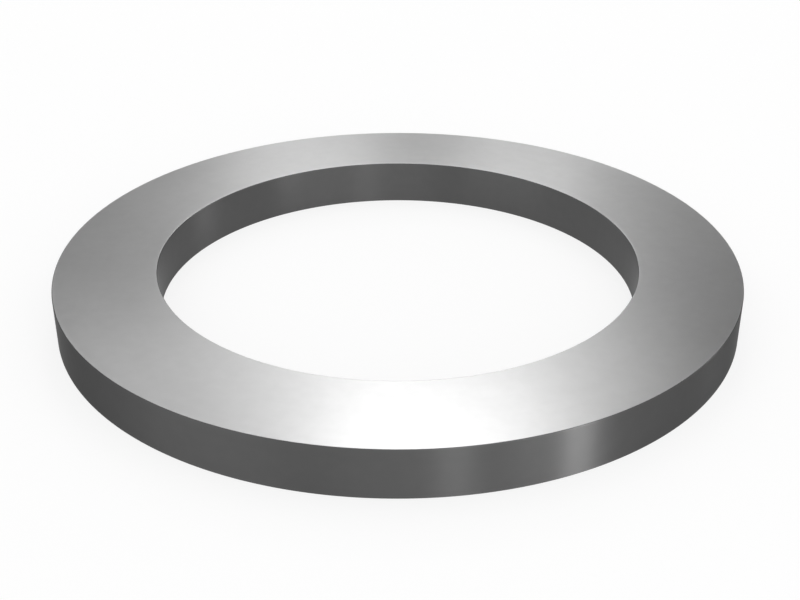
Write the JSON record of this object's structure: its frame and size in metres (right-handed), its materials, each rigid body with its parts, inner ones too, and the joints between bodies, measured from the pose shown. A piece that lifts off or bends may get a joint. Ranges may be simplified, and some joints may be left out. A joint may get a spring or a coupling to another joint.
{
  "type": "sealing washer",
  "caption": "Flat solid metal ring with a plain bore and two flat sealing faces, clamped under a screw plug or banjo bolt to seal the joint.",
  "frame": {"origin": "centre of the bore in the plane of the lower sealing face", "axes": "+Z along the bore's axis, up from the lower sealing face to the upper one; +X and +Y lie in the plane of the ring, which looks the same all round"},
  "size_m": [0.02, 0.02, 0.0014],
  "materials": {
    "ring_steel": "satin, with fine turning marks round the axis"
  },
  "bodies": {
    "root": {"sealing_ring": "ring_steel"}
  },
  "joints": []
}
